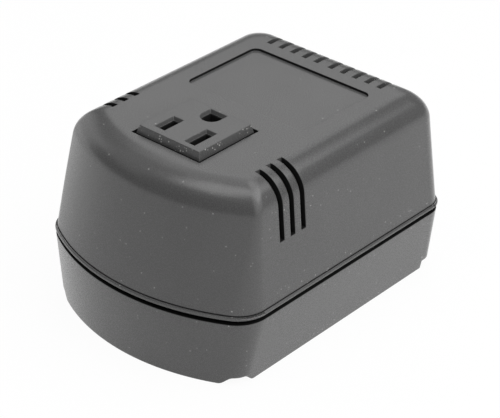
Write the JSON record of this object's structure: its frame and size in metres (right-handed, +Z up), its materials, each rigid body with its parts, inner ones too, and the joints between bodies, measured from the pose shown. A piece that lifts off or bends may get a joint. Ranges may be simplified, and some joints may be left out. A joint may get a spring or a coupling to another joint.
{
  "type": "travel voltage converter",
  "caption": "Desk-top step-down voltage converter: dark grey two-shell plastic casing with bowed front, air slots, a three-pin outlet in the top and a laminated transformer inside.",
  "frame": {"origin": "middle of the footprint, on the table that the tray stands on", "axes": "+Z up; +Y along the length, from the bowed front to the back with the cord entry; +X across the width"},
  "size_m": [0.084, 0.11, 0.0671],
  "materials": {
    "casing": "fine spark-eroded matte grain",
    "outlet": "smooth matte moulding",
    "nylon": "natural nylon",
    "contact_brass": "plain stamped brass",
    "screw_steel": "zinc plated",
    "core_iron": "varnished lamination stack",
    "tinned_tag": "tinned",
    "winding_copper": "enamelled copper wire",
    "tape": "polyester insulating tape",
    "black_plastic": "moulded phenolic",
    "gland_rubber": "soft moulded bush",
    "lead_black": "insulated lead",
    "lead_white": "insulated lead",
    "lead_green": "insulated lead",
    "lead_red": "insulated lead"
  },
  "bodies": {
    "root": {"top_cover": "casing", "base_tray": "casing", "outlet_face": "outlet", "contact_carrier": "nylon", "line_contact": "contact_brass", "neutral_contact": "contact_brass", "earth_contact": "contact_brass", "outlet_screws": "screw_steel", "core_e_stack": "core_iron", "core_i_stack": "core_iron", "bobbin": "nylon", "bobbin_tags": "tinned_tag", "inner_winding": "winding_copper", "winding_paper": "tape", "outer_winding": "winding_copper", "winding_wrap": "tape", "thermal_cutout": "black_plastic", "core_bolts": "screw_steel", "core_washers": "screw_steel", "earth_eye": "contact_brass", "cord_gland": "gland_rubber", "case_screws": "screw_steel", "line_lead": "lead_black", "neutral_lead": "lead_white", "earth_lead": "lead_green", "cutout_lead": "lead_red"}
  },
  "joints": []
}
